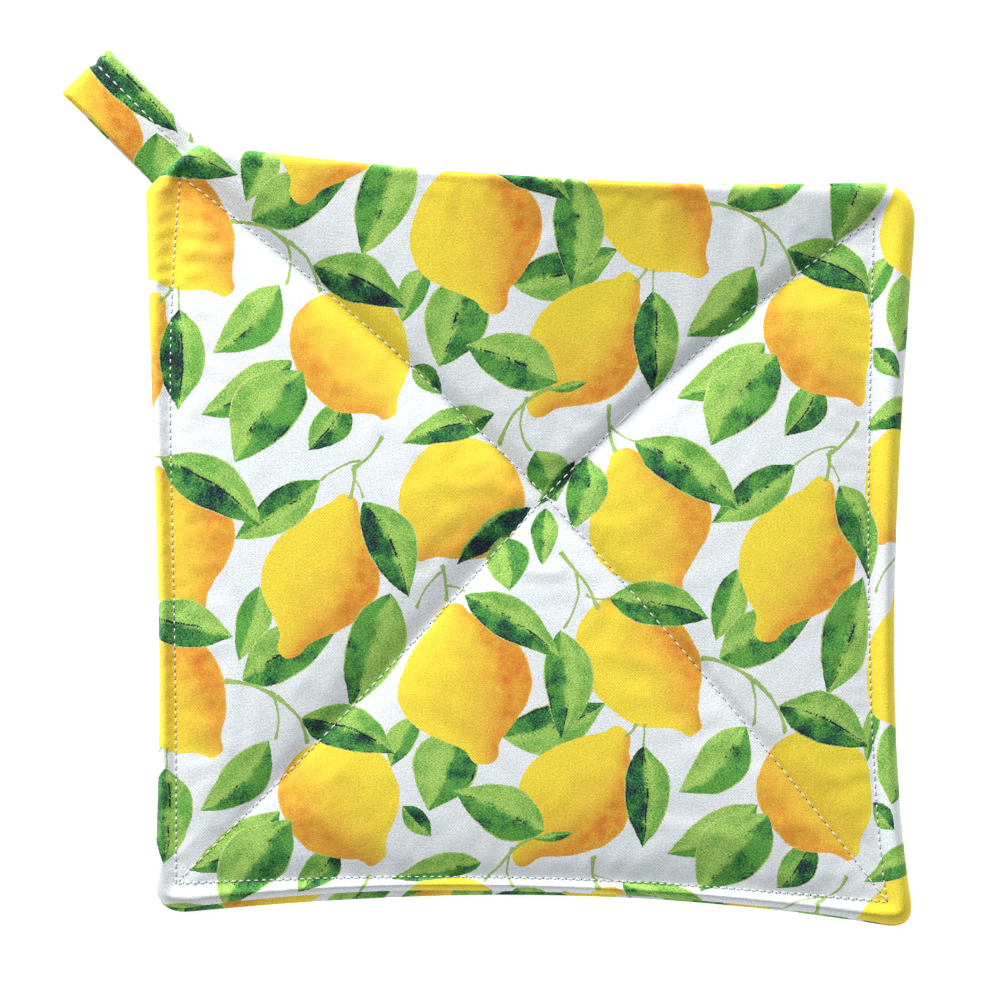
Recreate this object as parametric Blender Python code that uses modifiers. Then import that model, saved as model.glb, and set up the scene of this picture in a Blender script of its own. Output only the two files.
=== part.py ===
"""Quilted pot holder with a hanging loop.

A front panel over its filling and a back panel, both of printed cotton, are sewn together round
the edge, turned out and topstitched on three sides. Two lines of quilting cross the whole thing
from corner to corner, so the front stands up in four soft puffs. A folded strip caught in the
top left corner is the hanging loop. The pot holder lies on its back, with +Z up.
"""
import math
from collections import namedtuple

import bmesh
import bpy
from mathutils import Vector

# Every size below is in millimetres, measured from the middle of the square.
MM = 0.001

# Heights of the layers above the surface that the pot holder lies on.
SEAM_HEIGHT = 2.6       # the seam that joins the front to the back
SEAM_GAP = 0.3          # room between the two panels at the seam
VALLEY_HEIGHT = 5.0     # the front along the quilting and the topstitching
BORDER_LIFT = 1.0       # how far the border stands above its stitching
BACK_GROOVE = 1.2       # how far the quilting draws the back up
BACK_GROOVE_WIDTH = 9.0

# How quickly the filling rises away from the stitching that holds it down.
QUILT_SLOPE = 11.0
EDGE_SLOPE = 12.0
ROLLED_EDGE = 0.5       # share of its height that a puff keeps at an edge with no topstitching

# Where the two lines of quilting cross, right of the middle and above it.
CROSSING = Vector((4.9, 9.0))

# Rings of the panels' grids, as shares of the way from the crossing to the outline.
RINGS_TO_STITCHING = 14
BORDER_SHARES = (0.0, 0.3, 0.6, 0.82, 0.95, 1.0)
CORNER_CROWDING = 0.35  # draws the grid's lines towards the corners, where the outline turns

# x, y: where two sides would meet; cut: where the rounding begins; fullness: 0 is a straight cut
# and 1 a full bend; stitch_x, stitch_y: where the topstitching turns; bow_x, bow_y: how far the
# quilting strays from a straight line on its way to this corner.
Corner = namedtuple("Corner", "x y cut fullness stitch_x stitch_y bow_x bow_y")
CORNERS = {
    "top_left": Corner(-104.0, 108.6, 15.0, 0.15, -94.2, 97.3, 1.8, 1.8),
    "top_right": Corner(106.2, 96.2, 11.0, 0.85, 94.0, 85.2, -2.3, 2.3),
    "bottom_right": Corner(104.8, -109.2, 9.0, 0.85, 96.4, -101.4, 1.1, 1.1),
    "bottom_left": Corner(-100.2, -104.7, 9.0, 0.85, -94.2, -96.4, 1.1, -1.1),
}

# draw_in: how far the filling draws the side in, at the share of its length named by deepest;
# stitch_in, stitch_deepest: the same for its topstitching; crown: the height of its puff over
# the stitching; sewn: whether the side is topstitched.
Side = namedtuple("Side", "start end inward draw_in deepest roundness "
                          "stitch_in stitch_deepest crown sewn")
SIDES = {
    "top": Side("top_left", "top_right", (0, -1), 6.2, 0.50, 1.0, 0.0, 0.50, 6.4, False),
    "right": Side("bottom_right", "top_right", (-1, 0), 6.5, 0.38, 1.0, 3.5, 0.38, 6.8, True),
    "bottom": Side("bottom_left", "bottom_right", (0, 1), 7.9, 0.53, 0.8, 4.0, 0.50, 7.0, True),
    "left": Side("bottom_left", "top_left", (1, 0), 2.2, 0.35, 2.0, -2.4, 0.72, 6.2, True),
}

# The hanging loop: a strip folded back on itself, pointing out of the corner at this angle.
LOOP_ANGLE = math.radians(134.6)
LOOP_BASE = Vector((-96.0, 102.0))  # middle of the strip where it leaves the corner
LOOP_LENGTH = 35.0
LOOP_BASE_WIDTH = 17.3
LOOP_FOLD_WIDTH = 16.8
LOOP_SKEW = 1.0                     # how far the strip's base turns to follow the corner
LOOP_THICKNESS = 1.3
LOOP_OPENING = 4.5                  # room inside the loop, between its two legs

# share: how far along the loop; height: of the middle of the strip; in the order sewn.
LoopPoint = namedtuple("LoopPoint", "along height")
LEG_TOUCHES = 0.5 * LOOP_THICKNESS
LEG_TOP = 1.5 * LOOP_THICKNESS + LOOP_OPENING
LOWER_LEG = (LoopPoint(1.5, 1.90), LoopPoint(3.5, 1.45), LoopPoint(6.0, 0.95),
             LoopPoint(9.0, LEG_TOUCHES), LoopPoint(20.0, LEG_TOUCHES))
UPPER_LEG = (LoopPoint(20.0, LEG_TOP), LoopPoint(13.0, LEG_TOP), LoopPoint(9.0, 6.0),
             LoopPoint(6.0, 5.0), LoopPoint(3.5, 4.1), LoopPoint(1.5, 3.55))
FOLD_STEPS = 9

CLOTH_WHITE = (0.92, 0.93, 0.90, 1.0)
CLOTH_YELLOW = (0.93, 0.72, 0.12, 1.0)
CLOTH_ROUGHNESS = 0.85


def bow(amount, deepest, roundness, share):
    """Distance that a side is drawn in at a share of its length, greatest at deepest."""
    power = math.log(0.5) / math.log(deepest)
    return amount * max(0.0, math.sin(math.pi * share ** power)) ** roundness


def side_point(side, share):
    """Point of a drawn-in side before its corners are rounded."""
    start, end = CORNERS[side.start], CORNERS[side.end]
    straight = Vector((start.x, start.y)).lerp(Vector((end.x, end.y)), share)
    return straight + Vector(side.inward) * bow(side.draw_in, side.deepest, side.roundness, share)


def point_from_corner(side, corner_name, distance):
    """Point of a side at a distance from one of its two corners."""
    start, end = CORNERS[side.start], CORNERS[side.end]
    share = distance / math.hypot(end.x - start.x, end.y - start.y)
    return side_point(side, share if side.start == corner_name else 1.0 - share)


def outline_point(side, share):
    """Point of the outline, with the corner at either end of the side rounded."""
    start, end = CORNERS[side.start], CORNERS[side.end]
    length = math.hypot(end.x - start.x, end.y - start.y)
    for corner_name, distance in ((side.start, share * length), (side.end, (1 - share) * length)):
        corner = CORNERS[corner_name]
        if distance < corner.cut:
            ours = point_from_corner(side, corner_name, corner.cut)
            other = next(s for s in SIDES.values()
                         if s is not side and corner_name in (s.start, s.end))
            theirs = point_from_corner(other, corner_name, corner.cut)
            pull = ours.lerp(theirs, 0.5).lerp(Vector((corner.x, corner.y)), corner.fullness)
            turn = 0.5 * (1 - distance / corner.cut)
            return ours.lerp(pull, turn).lerp(pull.lerp(theirs, turn), turn)
    return side_point(side, share)


def stitching_point(side, share):
    """Point of the topstitching, which turns sharply at each corner."""
    start, end = CORNERS[side.start], CORNERS[side.end]
    straight = Vector((start.stitch_x, start.stitch_y)).lerp(
        Vector((end.stitch_x, end.stitch_y)), share)
    return straight + Vector(side.inward) * bow(side.stitch_in, side.stitch_deepest, 1.0, share)


def ring_side(column, row):
    """Side, ring number and place along the side (-1 to 1) of a grid vertex."""
    ring = max(abs(column), abs(row))
    if ring == 0:
        return SIDES["right"], 0, 0.0
    if abs(column) >= abs(row):
        side, place = SIDES["right" if column > 0 else "left"], row / ring
    else:
        side, place = SIDES["top" if row > 0 else "bottom"], column / ring
    return side, ring, place * (1 + CORNER_CROWDING) - CORNER_CROWDING * place ** 3


def plan_point(side, ring, place):
    """Where a grid vertex lies, seen from above."""
    share = 0.5 * (1 + place)
    stitching = stitching_point(side, share)
    inner = min(1.0, ring / RINGS_TO_STITCHING)
    if ring > RINGS_TO_STITCHING:
        border = BORDER_SHARES[ring - RINGS_TO_STITCHING]
        return stitching.lerp(outline_point(side, share), border)
    nearest = CORNERS[side.end if place > 0 else side.start]
    stray = math.sin(math.pi * inner) * abs(place) ** 6
    return CROSSING.lerp(stitching, inner) + stray * Vector((nearest.bow_x, nearest.bow_y))


def rise(distance, slope, kept=0.0):
    """How much of its full height the filling has at a distance from its stitching."""
    return 1 - (1 - kept) * math.exp(-distance / slope)


HALF_STITCHED = 0.5 * (CORNERS["bottom_right"].stitch_x - CORNERS["bottom_left"].stitch_x)


def quilting_distance(ring, place, line):
    """Distance from the line of quilting at a side's end (line = 1) or at its start (-1)."""
    inner = min(1.0, ring / RINGS_TO_STITCHING)
    return (1 - line * place) * inner * HALF_STITCHED / math.sqrt(2)


def front_height(side, ring, place):
    """Height of the front: four puffs inside the stitching, and a firm border outside it."""
    edge_distance = max(0.0, 1 - ring / RINGS_TO_STITCHING) * HALF_STITCHED
    kept = 0.0 if side.sewn else ROLLED_EDGE
    puff = side.crown * (rise(quilting_distance(ring, place, 1), QUILT_SLOPE)
                         * rise(quilting_distance(ring, place, -1), QUILT_SLOPE))
    height = VALLEY_HEIGHT + puff * rise(edge_distance, EDGE_SLOPE, kept)
    if ring <= RINGS_TO_STITCHING:
        return height
    border = BORDER_SHARES[ring - RINGS_TO_STITCHING]
    lift = BORDER_LIFT * math.sin(math.pi * border) if side.sewn else 0.0
    seam = SEAM_HEIGHT + 0.5 * SEAM_GAP
    falling = math.sqrt(1 - border ** (4 if side.sewn else 2))
    return seam + (height + lift - seam) * falling


def back_height(side, ring, place):
    """Height of the underside: flat, grooved by the quilting, and rounded up to the seam."""
    nearest = min(quilting_distance(ring, place, line) for line in (-1, 1))
    groove = max(0.0, 1 - nearest / BACK_GROOVE_WIDTH)
    if ring <= RINGS_TO_STITCHING:
        return BACK_GROOVE * groove ** 2
    border = BORDER_SHARES[ring - RINGS_TO_STITCHING]
    seam = SEAM_HEIGHT - 0.5 * SEAM_GAP
    return seam * (1 - math.sqrt(1 - border ** 6))


def build_panel(name, height, colour):
    """Panel whose outer face follows a height function, closed by a flat face at the seam."""
    mesh = bpy.data.meshes.new(name)
    shape = bmesh.new()
    half = RINGS_TO_STITCHING + len(BORDER_SHARES) - 1
    bmesh.ops.create_grid(shape, x_segments=2 * half, y_segments=2 * half, size=half)
    for vert in shape.verts:
        side, ring, place = ring_side(round(vert.co.x), round(vert.co.y))
        plan = plan_point(side, ring, place)
        vert.co = Vector((plan.x, plan.y, height(side, ring, place))) * MM
    for face in list(shape.faces):
        corners = face.verts[:]
        first = corners[0].co.z + corners[2].co.z
        second = corners[1].co.z + corners[3].co.z
        if height is back_height:
            first, second = -first, -second
        pair = (corners[0], corners[2]) if first <= second else (corners[1], corners[3])
        bmesh.utils.face_split(face, *pair)
    bmesh.ops.edgeloop_fill(shape, edges=[e for e in shape.edges if e.is_boundary])
    bmesh.ops.recalc_face_normals(shape, faces=shape.faces)
    if shape.calc_volume(signed=True) < 0:
        bmesh.ops.reverse_faces(shape, faces=shape.faces)
    shape.to_mesh(mesh)
    shape.free()
    return add_object(name, mesh, colour)


def loop_path():
    """The strip's middle line from one sewn end, round the fold, to the other."""
    radius = 0.5 * (LEG_TOP - LEG_TOUCHES)
    centre = LoopPoint(LOOP_LENGTH - 0.5 * LOOP_THICKNESS - radius, LEG_TOUCHES + radius)
    fold = []
    for step in range(FOLD_STEPS):
        angle = math.pi * (step / (FOLD_STEPS - 1) - 0.5)
        fold.append(LoopPoint(centre.along + radius * math.cos(angle),
                              centre.height + radius * math.sin(angle)))
    return LOWER_LEG + tuple(fold) + UPPER_LEG


def build_loop(name, colour):
    """Folded strip: an open sheet along the loop's path, thickened evenly on both sides."""
    outward = Vector((math.cos(LOOP_ANGLE), math.sin(LOOP_ANGLE)))
    across = Vector((outward.y, -outward.x))
    mesh = bpy.data.meshes.new(name)
    shape = bmesh.new()
    last = None
    for point in loop_path():
        share = point.along / LOOP_LENGTH
        half_width = 0.5 * (LOOP_BASE_WIDTH + (LOOP_FOLD_WIDTH - LOOP_BASE_WIDTH) * share)
        row = []
        for edge in (-1, 1):
            along = point.along - edge * LOOP_SKEW * (1 - share)
            plan = LOOP_BASE + outward * along + across * edge * half_width
            row.append(shape.verts.new(Vector((plan.x, plan.y, point.height)) * MM))
        if last:
            shape.faces.new((last[0], last[1], row[1], row[0]))
        last = row
    shape.to_mesh(mesh)
    shape.free()
    loop = add_object(name, mesh, colour)
    thickness = loop.modifiers.new("cloth thickness", "SOLIDIFY")
    thickness.thickness = LOOP_THICKNESS * MM
    thickness.offset = 0.0
    thickness.use_even_offset = True
    return loop


def add_object(name, mesh, colour):
    """Object of the pot holder, with its own cotton material."""
    cotton = bpy.data.materials.new(name + " cotton")
    cotton.use_nodes = True
    shader = cotton.node_tree.nodes["Principled BSDF"]
    shader.inputs["Base Color"].default_value = colour
    shader.inputs["Roughness"].default_value = CLOTH_ROUGHNESS
    shader.inputs["Metallic"].default_value = 0.0
    mesh.materials.append(cotton)
    mesh.shade_smooth()
    mesh.set_sharp_from_angle(angle=math.radians(40))
    piece = bpy.data.objects.new(name, mesh)
    pot_holder.objects.link(piece)
    return piece


def centre_on_origin(pieces):
    """Slide the pieces together until the middle of their common box is over the origin."""
    corners = [vert.co for piece in pieces for vert in piece.data.vertices]
    middle_x = 0.5 * (min(c.x for c in corners) + max(c.x for c in corners))
    middle_y = 0.5 * (min(c.y for c in corners) + max(c.y for c in corners))
    for piece in pieces:
        for vert in piece.data.vertices:
            vert.co -= Vector((middle_x, middle_y, 0.0))


for old in list(bpy.data.objects):
    bpy.data.objects.remove(old, do_unlink=True)
pot_holder = bpy.data.collections.new("quilted pot holder")
bpy.context.scene.collection.children.link(pot_holder)

back = build_panel("back_panel", back_height, CLOTH_YELLOW)
front = build_panel("front_panel", front_height, CLOTH_WHITE)
loop = build_loop("hanging_loop", CLOTH_YELLOW)
centre_on_origin((back, front, loop))
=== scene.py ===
"""Quilted pot holder in a lemon and leaf cotton, lying on its back on a pale surface."""
from collections import namedtuple
from functools import partial
from math import cos, exp, hypot, log, pi, radians, sin, sqrt, tanh

import bpy
import numpy as np
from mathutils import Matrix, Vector
from mathutils.bvhtree import BVHTree


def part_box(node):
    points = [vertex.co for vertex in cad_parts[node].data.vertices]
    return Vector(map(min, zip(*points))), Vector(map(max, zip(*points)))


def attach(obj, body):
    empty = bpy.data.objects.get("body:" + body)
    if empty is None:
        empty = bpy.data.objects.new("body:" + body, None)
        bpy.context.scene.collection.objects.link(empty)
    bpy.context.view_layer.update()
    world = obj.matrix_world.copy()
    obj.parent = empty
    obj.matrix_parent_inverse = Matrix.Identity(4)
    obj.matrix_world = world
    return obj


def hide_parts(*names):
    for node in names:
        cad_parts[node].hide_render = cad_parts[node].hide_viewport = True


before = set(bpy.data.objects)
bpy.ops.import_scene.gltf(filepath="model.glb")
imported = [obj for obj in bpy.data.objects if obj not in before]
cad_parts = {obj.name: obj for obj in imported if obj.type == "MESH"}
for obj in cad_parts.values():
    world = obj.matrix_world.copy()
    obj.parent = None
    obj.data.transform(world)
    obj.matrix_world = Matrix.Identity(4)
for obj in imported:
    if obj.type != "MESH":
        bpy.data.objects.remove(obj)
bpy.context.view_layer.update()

# ---- Surface, light and camera ----
# The pot holder lies on a plain white light table. A broad soft light stands beyond its top
# edge, so each puff is bright on its upper bank and grey on its lower one.
scene = bpy.context.scene
scene.view_settings.view_transform = "Standard"
scene.view_settings.exposure = 0.0

FLOOR_SIZE = 6.0
FLOOR_DROP = 0.0002     # how far the table's face is below the cloth that lies on it
FLOOR_GLOW = 0.7
WHITE = (1.0, 1.0, 1.0, 1)


def new_material(name, settings):
    """Material of one shader, with some of that shader's own sockets set."""
    material = bpy.data.materials.new(name)
    material.use_nodes = True
    for socket, value in settings.items():
        material.node_tree.nodes["Principled BSDF"].inputs[socket].default_value = value
    return material


bpy.ops.object.select_all(action="DESELECT")
bpy.ops.mesh.primitive_plane_add(size=FLOOR_SIZE, location=(0, 0, -FLOOR_DROP))
floor = bpy.context.object
floor.name = "floor"
floor.data.materials.append(new_material("white light table", {
    "Base Color": WHITE, "Roughness": 0.9, "Emission Color": WHITE,
    "Emission Strength": FLOOR_GLOW}))

world = bpy.data.worlds.new("studio")
world.use_nodes = True
sky = world.node_tree.nodes["Background"].inputs
sky["Color"].default_value = (0.96, 0.98, 1.0, 1)
sky["Strength"].default_value = 0.40
scene.world = world

KEY_PLACE = Vector((-0.37, 0.98, 0.38))
key = bpy.data.lights.new("key light", "AREA")
key.shape = "RECTANGLE"
key.size, key.size_y = 1.0, 0.4
key.energy = 24.6
key.color = (1.0, 0.99, 0.97)
softbox = bpy.data.objects.new("key light", key)
softbox.location = KEY_PLACE
softbox.rotation_euler = (-KEY_PLACE).to_track_quat("-Z", "Y").to_euler()
scene.collection.objects.link(softbox)

VIEW_TILT = radians(80)
VIEW_DISTANCE = 2.4
VIEW_WIDTH = 0.270
VIEW_CENTRE = Vector((0.00295, -0.00422, 0.004))
lens = bpy.data.cameras.new("camera")
lens.sensor_width = 36.0
lens.lens = lens.sensor_width * VIEW_DISTANCE / VIEW_WIDTH
lens.dof.use_dof = False
camera = bpy.data.objects.new("camera", lens)
toward_camera = Vector((0, -cos(VIEW_TILT), sin(VIEW_TILT)))
camera.location = VIEW_CENTRE + toward_camera * VIEW_DISTANCE
camera.rotation_euler = (-toward_camera).to_track_quat("-Z", "Y").to_euler()
scene.collection.objects.link(camera)
scene.camera = camera

# ---- Front panel ----
# The face of the pot holder: one square of printed cotton over its wadding, turned out round
# the edge. Two lines of quilting hold it down from corner to corner and a topstitched border
# on three sides, so it stands up in four soft puffs that pucker along their stitching.
MM = 0.001

# Heights above the table, and how fast the wadding rises away from the stitching, in mm.
SEAM_HEIGHT = 2.6
VALLEY_HEIGHT = 5.0
BORDER_LIFT = 1.5
SEAM_LIP = 0.75       # how far above the seam the front's cloth turns under
FRONT_SQUARENESS, BACK_SQUARENESS = 7, 6     # how late each one's edge turns, as a power
SEAM_TUCK = 1.0       # how far in from the edge the seam lies
ROLL_CLIMB = 0.7      # how much higher the seam is for each mm that the back is rolled over
ROLL_MEAN = 0.62      # share of its greatest roll that a side has between its left and right
OPEN_BANK = 2.2       # how much of its height the top puff has straight beside the quilting
OPEN_BANK_SLOPE = 4.5
OPEN_LEAN = 0.4       # how much more steeply its right half falls away from the edge
OPEN_REACH = 0.91     # share of the way out at which the top edge would have been topstitched
CROSSING = Vector((4.9, 9.0))

# One ring of the cloth for each needle hole of the quilting, then the border's own rings.
STITCHED_RINGS, BORDER_RINGS, TUCK_RINGS = 52, 11, 2
ALL_RINGS = STITCHED_RINGS + BORDER_RINGS + TUCK_RINGS
BORDER_CROWDING = 1.6     # how much closer together the border's rings are towards the edge

Corner = namedtuple("Corner", "x y cut fullness stitch_x stitch_y bow_x bow_y")
CORNERS = {
    "top_left": Corner(-104.0, 108.6, 15.0, 0.15, -94.2, 97.3, 1.8, 1.8),
    "top_right": Corner(106.2, 96.2, 11.0, 0.85, 94.0, 85.2, -2.3, 2.3),
    "bottom_right": Corner(104.8, -109.2, 9.0, 0.85, 96.4, -101.4, 1.1, 1.1),
    "bottom_left": Corner(-100.2, -104.7, 9.0, 0.85, -94.2, -96.4, 1.1, -1.1),
}

# How far each side and then its topstitching are drawn in, and where most. Then its puff's height
# and slopes, which the open top doesn't use. Then how much of the print turns under, how far the
# back rolls over the edge, the share of spare cloth gathered, and if the side is topstitched.
Side = namedtuple("Side", "start end inward draw_in deepest roundness stitch_in stitch_deepest "
                          "crown quilt_slope edge_slope hidden rolled gather sewn")
SIDES = {
    "top": Side("top_left", "top_right", (0, -1), 6.2, 0.50, 1.0, 0.0, 0.50,
                11.5, None, None, 0.0, 0.0, 0.1, False),
    "right": Side("bottom_right", "top_right", (-1, 0), 6.5, 0.38, 1.0, 3.5, 0.38,
                  2.5, 6.0, 17.0, 4.5, 0.0, 0.15, True),
    "bottom": Side("bottom_left", "bottom_right", (0, 1), 7.9, 0.53, 0.8, 4.0, 0.50,
                   2.7, 7.0, 8.0, 3.0, 1.8, 0.2, True),
    "left": Side("bottom_left", "top_left", (1, 0), 2.2, 0.35, 2.0, -2.4, 0.72,
                 3.3, 6.5, 9.0, 0.0, 0.0, 0.3, True),
}


def bow(amount, deepest, roundness, share):
    """Distance that a side is drawn in at a share of its length, greatest at deepest."""
    power = log(0.5) / log(deepest)
    return amount * max(0.0, sin(pi * share ** power)) ** roundness


def side_point(side, share):
    """Point of a drawn-in side before its corners are rounded."""
    start, end = CORNERS[side.start], CORNERS[side.end]
    straight = Vector((start.x, start.y)).lerp(Vector((end.x, end.y)), share)
    return straight + Vector(side.inward) * bow(side.draw_in, side.deepest, side.roundness, share)


def point_from_corner(side, corner_name, distance):
    """Point of a side at a distance from one of its two corners."""
    start, end = CORNERS[side.start], CORNERS[side.end]
    share = distance / hypot(end.x - start.x, end.y - start.y)
    return side_point(side, share if side.start == corner_name else 1.0 - share)


def outline_point(side, share):
    """Point of the outline, with the corner at either end of the side rounded."""
    start, end = CORNERS[side.start], CORNERS[side.end]
    length = hypot(end.x - start.x, end.y - start.y)
    for corner_name, distance in ((side.start, share * length), (side.end, (1 - share) * length)):
        corner = CORNERS[corner_name]
        if distance < corner.cut:
            ours = point_from_corner(side, corner_name, corner.cut)
            other = next(s for s in SIDES.values()
                         if s is not side and corner_name in (s.start, s.end))
            theirs = point_from_corner(other, corner_name, corner.cut)
            pull = ours.lerp(theirs, 0.5).lerp(Vector((corner.x, corner.y)), corner.fullness)
            turn = 0.5 * (1 - distance / corner.cut)
            return ours.lerp(pull, turn).lerp(pull.lerp(theirs, turn), turn)
    return side_point(side, share)


def stitching_point(side, share):
    """Point of the topstitching, which turns sharply at each corner."""
    start, end = CORNERS[side.start], CORNERS[side.end]
    straight = Vector((start.stitch_x, start.stitch_y)).lerp(
        Vector((end.stitch_x, end.stitch_y)), share)
    return straight + Vector(side.inward) * bow(side.stitch_in, side.stitch_deepest, 1.0, share)


def quilted_point(side, place, inner):
    """Point inside the stitching, a share of the way out from the crossing."""
    nearest = CORNERS[side.end if place > 0 else side.start]
    stray = sin(pi * inner) * abs(place) ** 6
    reach = CROSSING.lerp(stitching_point(side, 0.5 * (1 + place)), inner)
    return reach + stray * Vector((nearest.bow_x, nearest.bow_y))


def border_share(ring):
    """How far across the border a ring lies, with the rings closer towards the edge."""
    return 1 - (1 - min(1.0, (ring - STITCHED_RINGS) / BORDER_RINGS)) ** BORDER_CROWDING


def tuck_share(ring):
    """How far round the turned edge a ring lies, from 0 on the border to 1 at the seam."""
    return max(0.0, (ring - STITCHED_RINGS - BORDER_RINGS) / TUCK_RINGS)


def ring_side(column, row):
    """Side, ring and place along the side (-1 to 1) of a vertex of the square grid."""
    ring = max(abs(column), abs(row))
    if ring == 0:
        return SIDES["right"], 0, 0.0
    if abs(column) >= abs(row):
        return SIDES["right" if column > 0 else "left"], ring, row / ring
    return SIDES["top" if row > 0 else "bottom"], ring, column / ring


def roll_over(side, place):
    """How far the back's cloth is rolled up over the edge: most along its left part, less along
    its right, and not at all at the corners."""
    left_to_right = tanh(4 * (place + 0.25))
    fade = ROLL_MEAN - (1 - ROLL_MEAN) * left_to_right
    return side.rolled * (1 - place ** 8) * fade


def border_reach(side, ring, place, width, back):
    """How far outside the stitching a border vertex lies, on a border of some width."""
    rolled = roll_over(side, place)
    if back:
        return width * border_share(ring) - (SEAM_TUCK + rolled) * tuck_share(ring)
    return (width - rolled) * border_share(ring) - SEAM_TUCK * tuck_share(ring)


def border_line(side, place):
    """Where the border starts at the stitching, its way outwards and its width."""
    share = 0.5 * (1 + place)
    start = stitching_point(side, share)
    outward = outline_point(side, share) - start
    return start, outward.normalized(), outward.length


def plan_point(side, ring, place, back):
    """Where a vertex of the cloth lies, seen from above."""
    if ring <= STITCHED_RINGS:
        return quilted_point(side, place, ring / STITCHED_RINGS)
    start, outward, width = border_line(side, place)
    return start + outward * border_reach(side, ring, place, width, back)


def rise(distance, slope):
    """How much of its full height the wadding has at a distance from its stitching."""
    return 1 - exp(-distance / slope)


HALF_STITCHED = 0.5 * (CORNERS["bottom_right"].stitch_x - CORNERS["bottom_left"].stitch_x)


def quilting_distances(ring, place):
    """Distances in mm from the lines of quilting at the start and at the end of a side."""
    return [(1 - line * place) * min(1.0, ring / STITCHED_RINGS) * HALF_STITCHED / sqrt(2)
            for line in (-1, 1)]


def edge_distance(ring):
    """Distance in mm from the topstitching to a ring inside it."""
    return max(0.0, 1 - ring / STITCHED_RINGS) * HALF_STITCHED


def puff_height(side, ring, place):
    """Height of a puff over the stitching: a dome, or at the top a tent up to its own edge."""
    to_start, to_end = quilting_distances(ring, place)
    if side.sewn:
        return side.crown * (rise(to_start, side.quilt_slope) * rise(to_end, side.quilt_slope)
                             * rise(edge_distance(ring), side.edge_slope))
    reach = OPEN_REACH * min(1.0, ring / STITCHED_RINGS)
    if ring > STITCHED_RINGS:
        reach += (1 - OPEN_REACH) * border_share(ring)
    bank = OPEN_BANK * rise(min(to_start, to_end), OPEN_BANK_SLOPE)
    lean = OPEN_LEAN * tanh(4 * place)
    ridge = 1 - abs(place) ** (1.5 - lean)
    return bank + (side.crown - OPEN_BANK) * reach ** (1.5 + lean) * ridge


def front_height(side, ring, place):
    """Height of the front: four puffs, and a firm border outside the topstitching."""
    height = VALLEY_HEIGHT + puff_height(side, ring, place)
    if ring <= STITCHED_RINGS:
        return height
    border = border_share(ring)
    lift = BORDER_LIFT * sin(pi * border ** 1.6)
    if not side.sewn:
        lift *= abs(place) ** 12
    seam = SEAM_HEIGHT + ROLL_CLIMB * roll_over(side, place)
    lip = seam + SEAM_LIP * (1 - tuck_share(ring))
    return lip + (height + lift - seam - SEAM_LIP) * sqrt(1 - border ** FRONT_SQUARENESS)


OUTLINE_STEPS = 60
outline = [outline_point(side, step / OUTLINE_STEPS)
           for side in SIDES.values() for step in range(OUTLINE_STEPS + 1)]
square_middle = Vector((0.5 * (min(p.x for p in outline) + max(p.x for p in outline)),
                        0.5 * (min(p.y for p in outline) + max(p.y for p in outline))))
panel_low, panel_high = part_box("front_panel")
PANEL_SHIFT = Vector((0.5 * (panel_low[0] + panel_high[0]),
                      0.5 * (panel_low[1] + panel_high[1]))) - square_middle * MM


def grid_places(panel):
    """Side, ring and place of each vertex of a panel, whatever its shape has become."""
    width = 2 * ALL_RINGS + 1
    for index in range(width * width):
        yield ring_side(index % width - ALL_RINGS, index // width - ALL_RINGS)


def build_panel(name, height, back=False):
    """Sheet of cloth on the rings of the quilting, with its own height function."""
    bpy.ops.object.select_all(action="DESELECT")
    bpy.ops.mesh.primitive_grid_add(x_subdivisions=2 * ALL_RINGS, y_subdivisions=2 * ALL_RINGS,
                                    size=2 * ALL_RINGS)
    panel = bpy.context.object
    panel.name = name
    for vert, (side, ring, place) in zip(panel.data.vertices, grid_places(panel)):
        plan = plan_point(side, ring, place, back) * MM + PANEL_SHIFT
        vert.co = (plan.x, plan.y, height(side, ring, place) * MM)
    return panel


# The print on the cotton: lemons among two-tone leaves on thin stems, repeated over the cloth.
# Places are in mm on the cloth, from a start near the middle of the front.
PRINT_START = Vector((0.0, -2.2))
REPEAT = (128.2, 123.4)
OFF_GRAIN = (0.024, 0.036)   # the panels were cut a little off the print's own upright
FRINGE = 1.05                # a leaf's pale printed fringe, as a share of its half width


def on_print(x, y):
    """Place on the print of a place on a panel."""
    return x - OFF_GRAIN[0] * y, y - OFF_GRAIN[1] * x


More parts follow.
